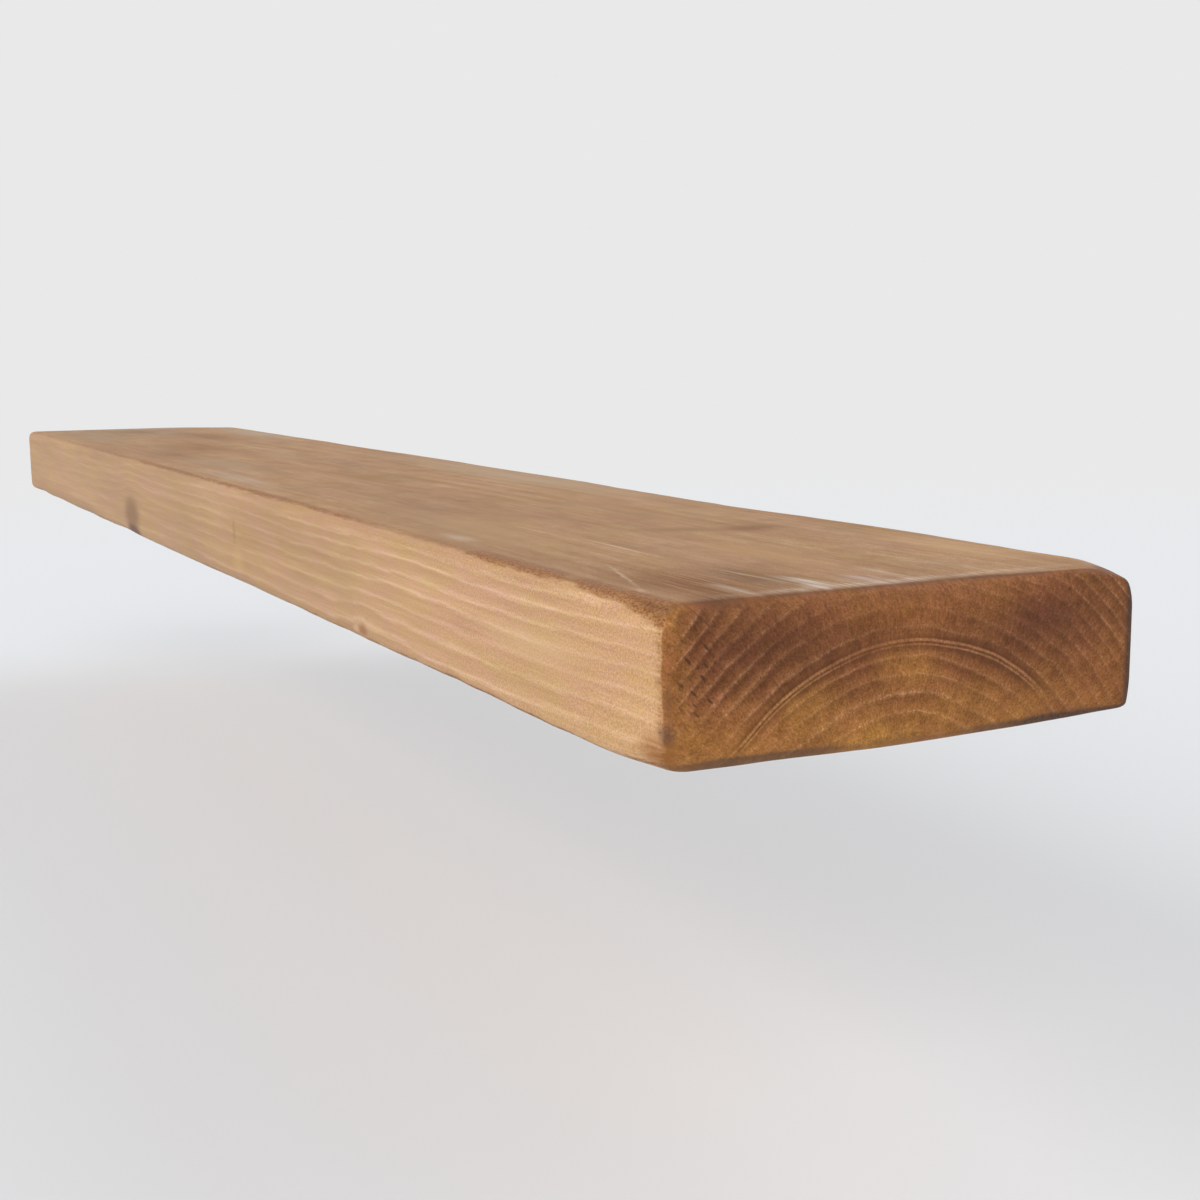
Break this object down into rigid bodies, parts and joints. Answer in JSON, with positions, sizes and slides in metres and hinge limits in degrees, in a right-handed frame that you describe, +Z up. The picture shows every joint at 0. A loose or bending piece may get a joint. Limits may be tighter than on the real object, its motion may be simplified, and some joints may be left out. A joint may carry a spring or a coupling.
{
  "type": "floating wall shelf",
  "caption": "Thick stained softwood plank shelf with hand-eased edges, pushed onto the rods of concealed steel brackets that are screwed to the wall.",
  "frame": {"origin": "in the plane of the wall, on the axis of the middle rod, half way along the plank and half way up its thickness", "axes": "+X along the wall to the right as seen from the room, +Y into the wall, +Z up"},
  "size_m": [1, 0.201, 0.044],
  "materials": {
    "stained_softwood": "light brown stain under thin wax, satin",
    "zinc_plated_steel": "bright zinc, slightly dull",
    "yellow_passivated_steel": "yellow passivated zinc",
    "grey_nylon": "moulded, matt"
  },
  "bodies": {
    "brackets": {"left_bracket_plate": "zinc_plated_steel", "left_bracket_rod": "zinc_plated_steel", "left_bracket_left_screw": "yellow_passivated_steel", "left_bracket_left_plug": "grey_nylon", "left_bracket_right_screw": "yellow_passivated_steel", "left_bracket_right_plug": "grey_nylon", "middle_bracket_plate": "zinc_plated_steel", "middle_bracket_rod": "zinc_plated_steel", "middle_bracket_left_screw": "yellow_passivated_steel", "middle_bracket_left_plug": "grey_nylon", "middle_bracket_right_screw": "yellow_passivated_steel", "middle_bracket_right_plug": "grey_nylon", "right_bracket_plate": "zinc_plated_steel", "right_bracket_rod": "zinc_plated_steel", "right_bracket_left_screw": "yellow_passivated_steel", "right_bracket_left_plug": "grey_nylon", "right_bracket_right_screw": "yellow_passivated_steel", "right_bracket_right_plug": "grey_nylon"},
    "shelf": {"shelf_board": "stained_softwood"}
  },
  "joints": [
    {"name": "board_slide", "type": "slide", "parent": "brackets", "child": "shelf", "axis": [0, -1, 0], "range_m": [0, 0.11]}
  ]
}
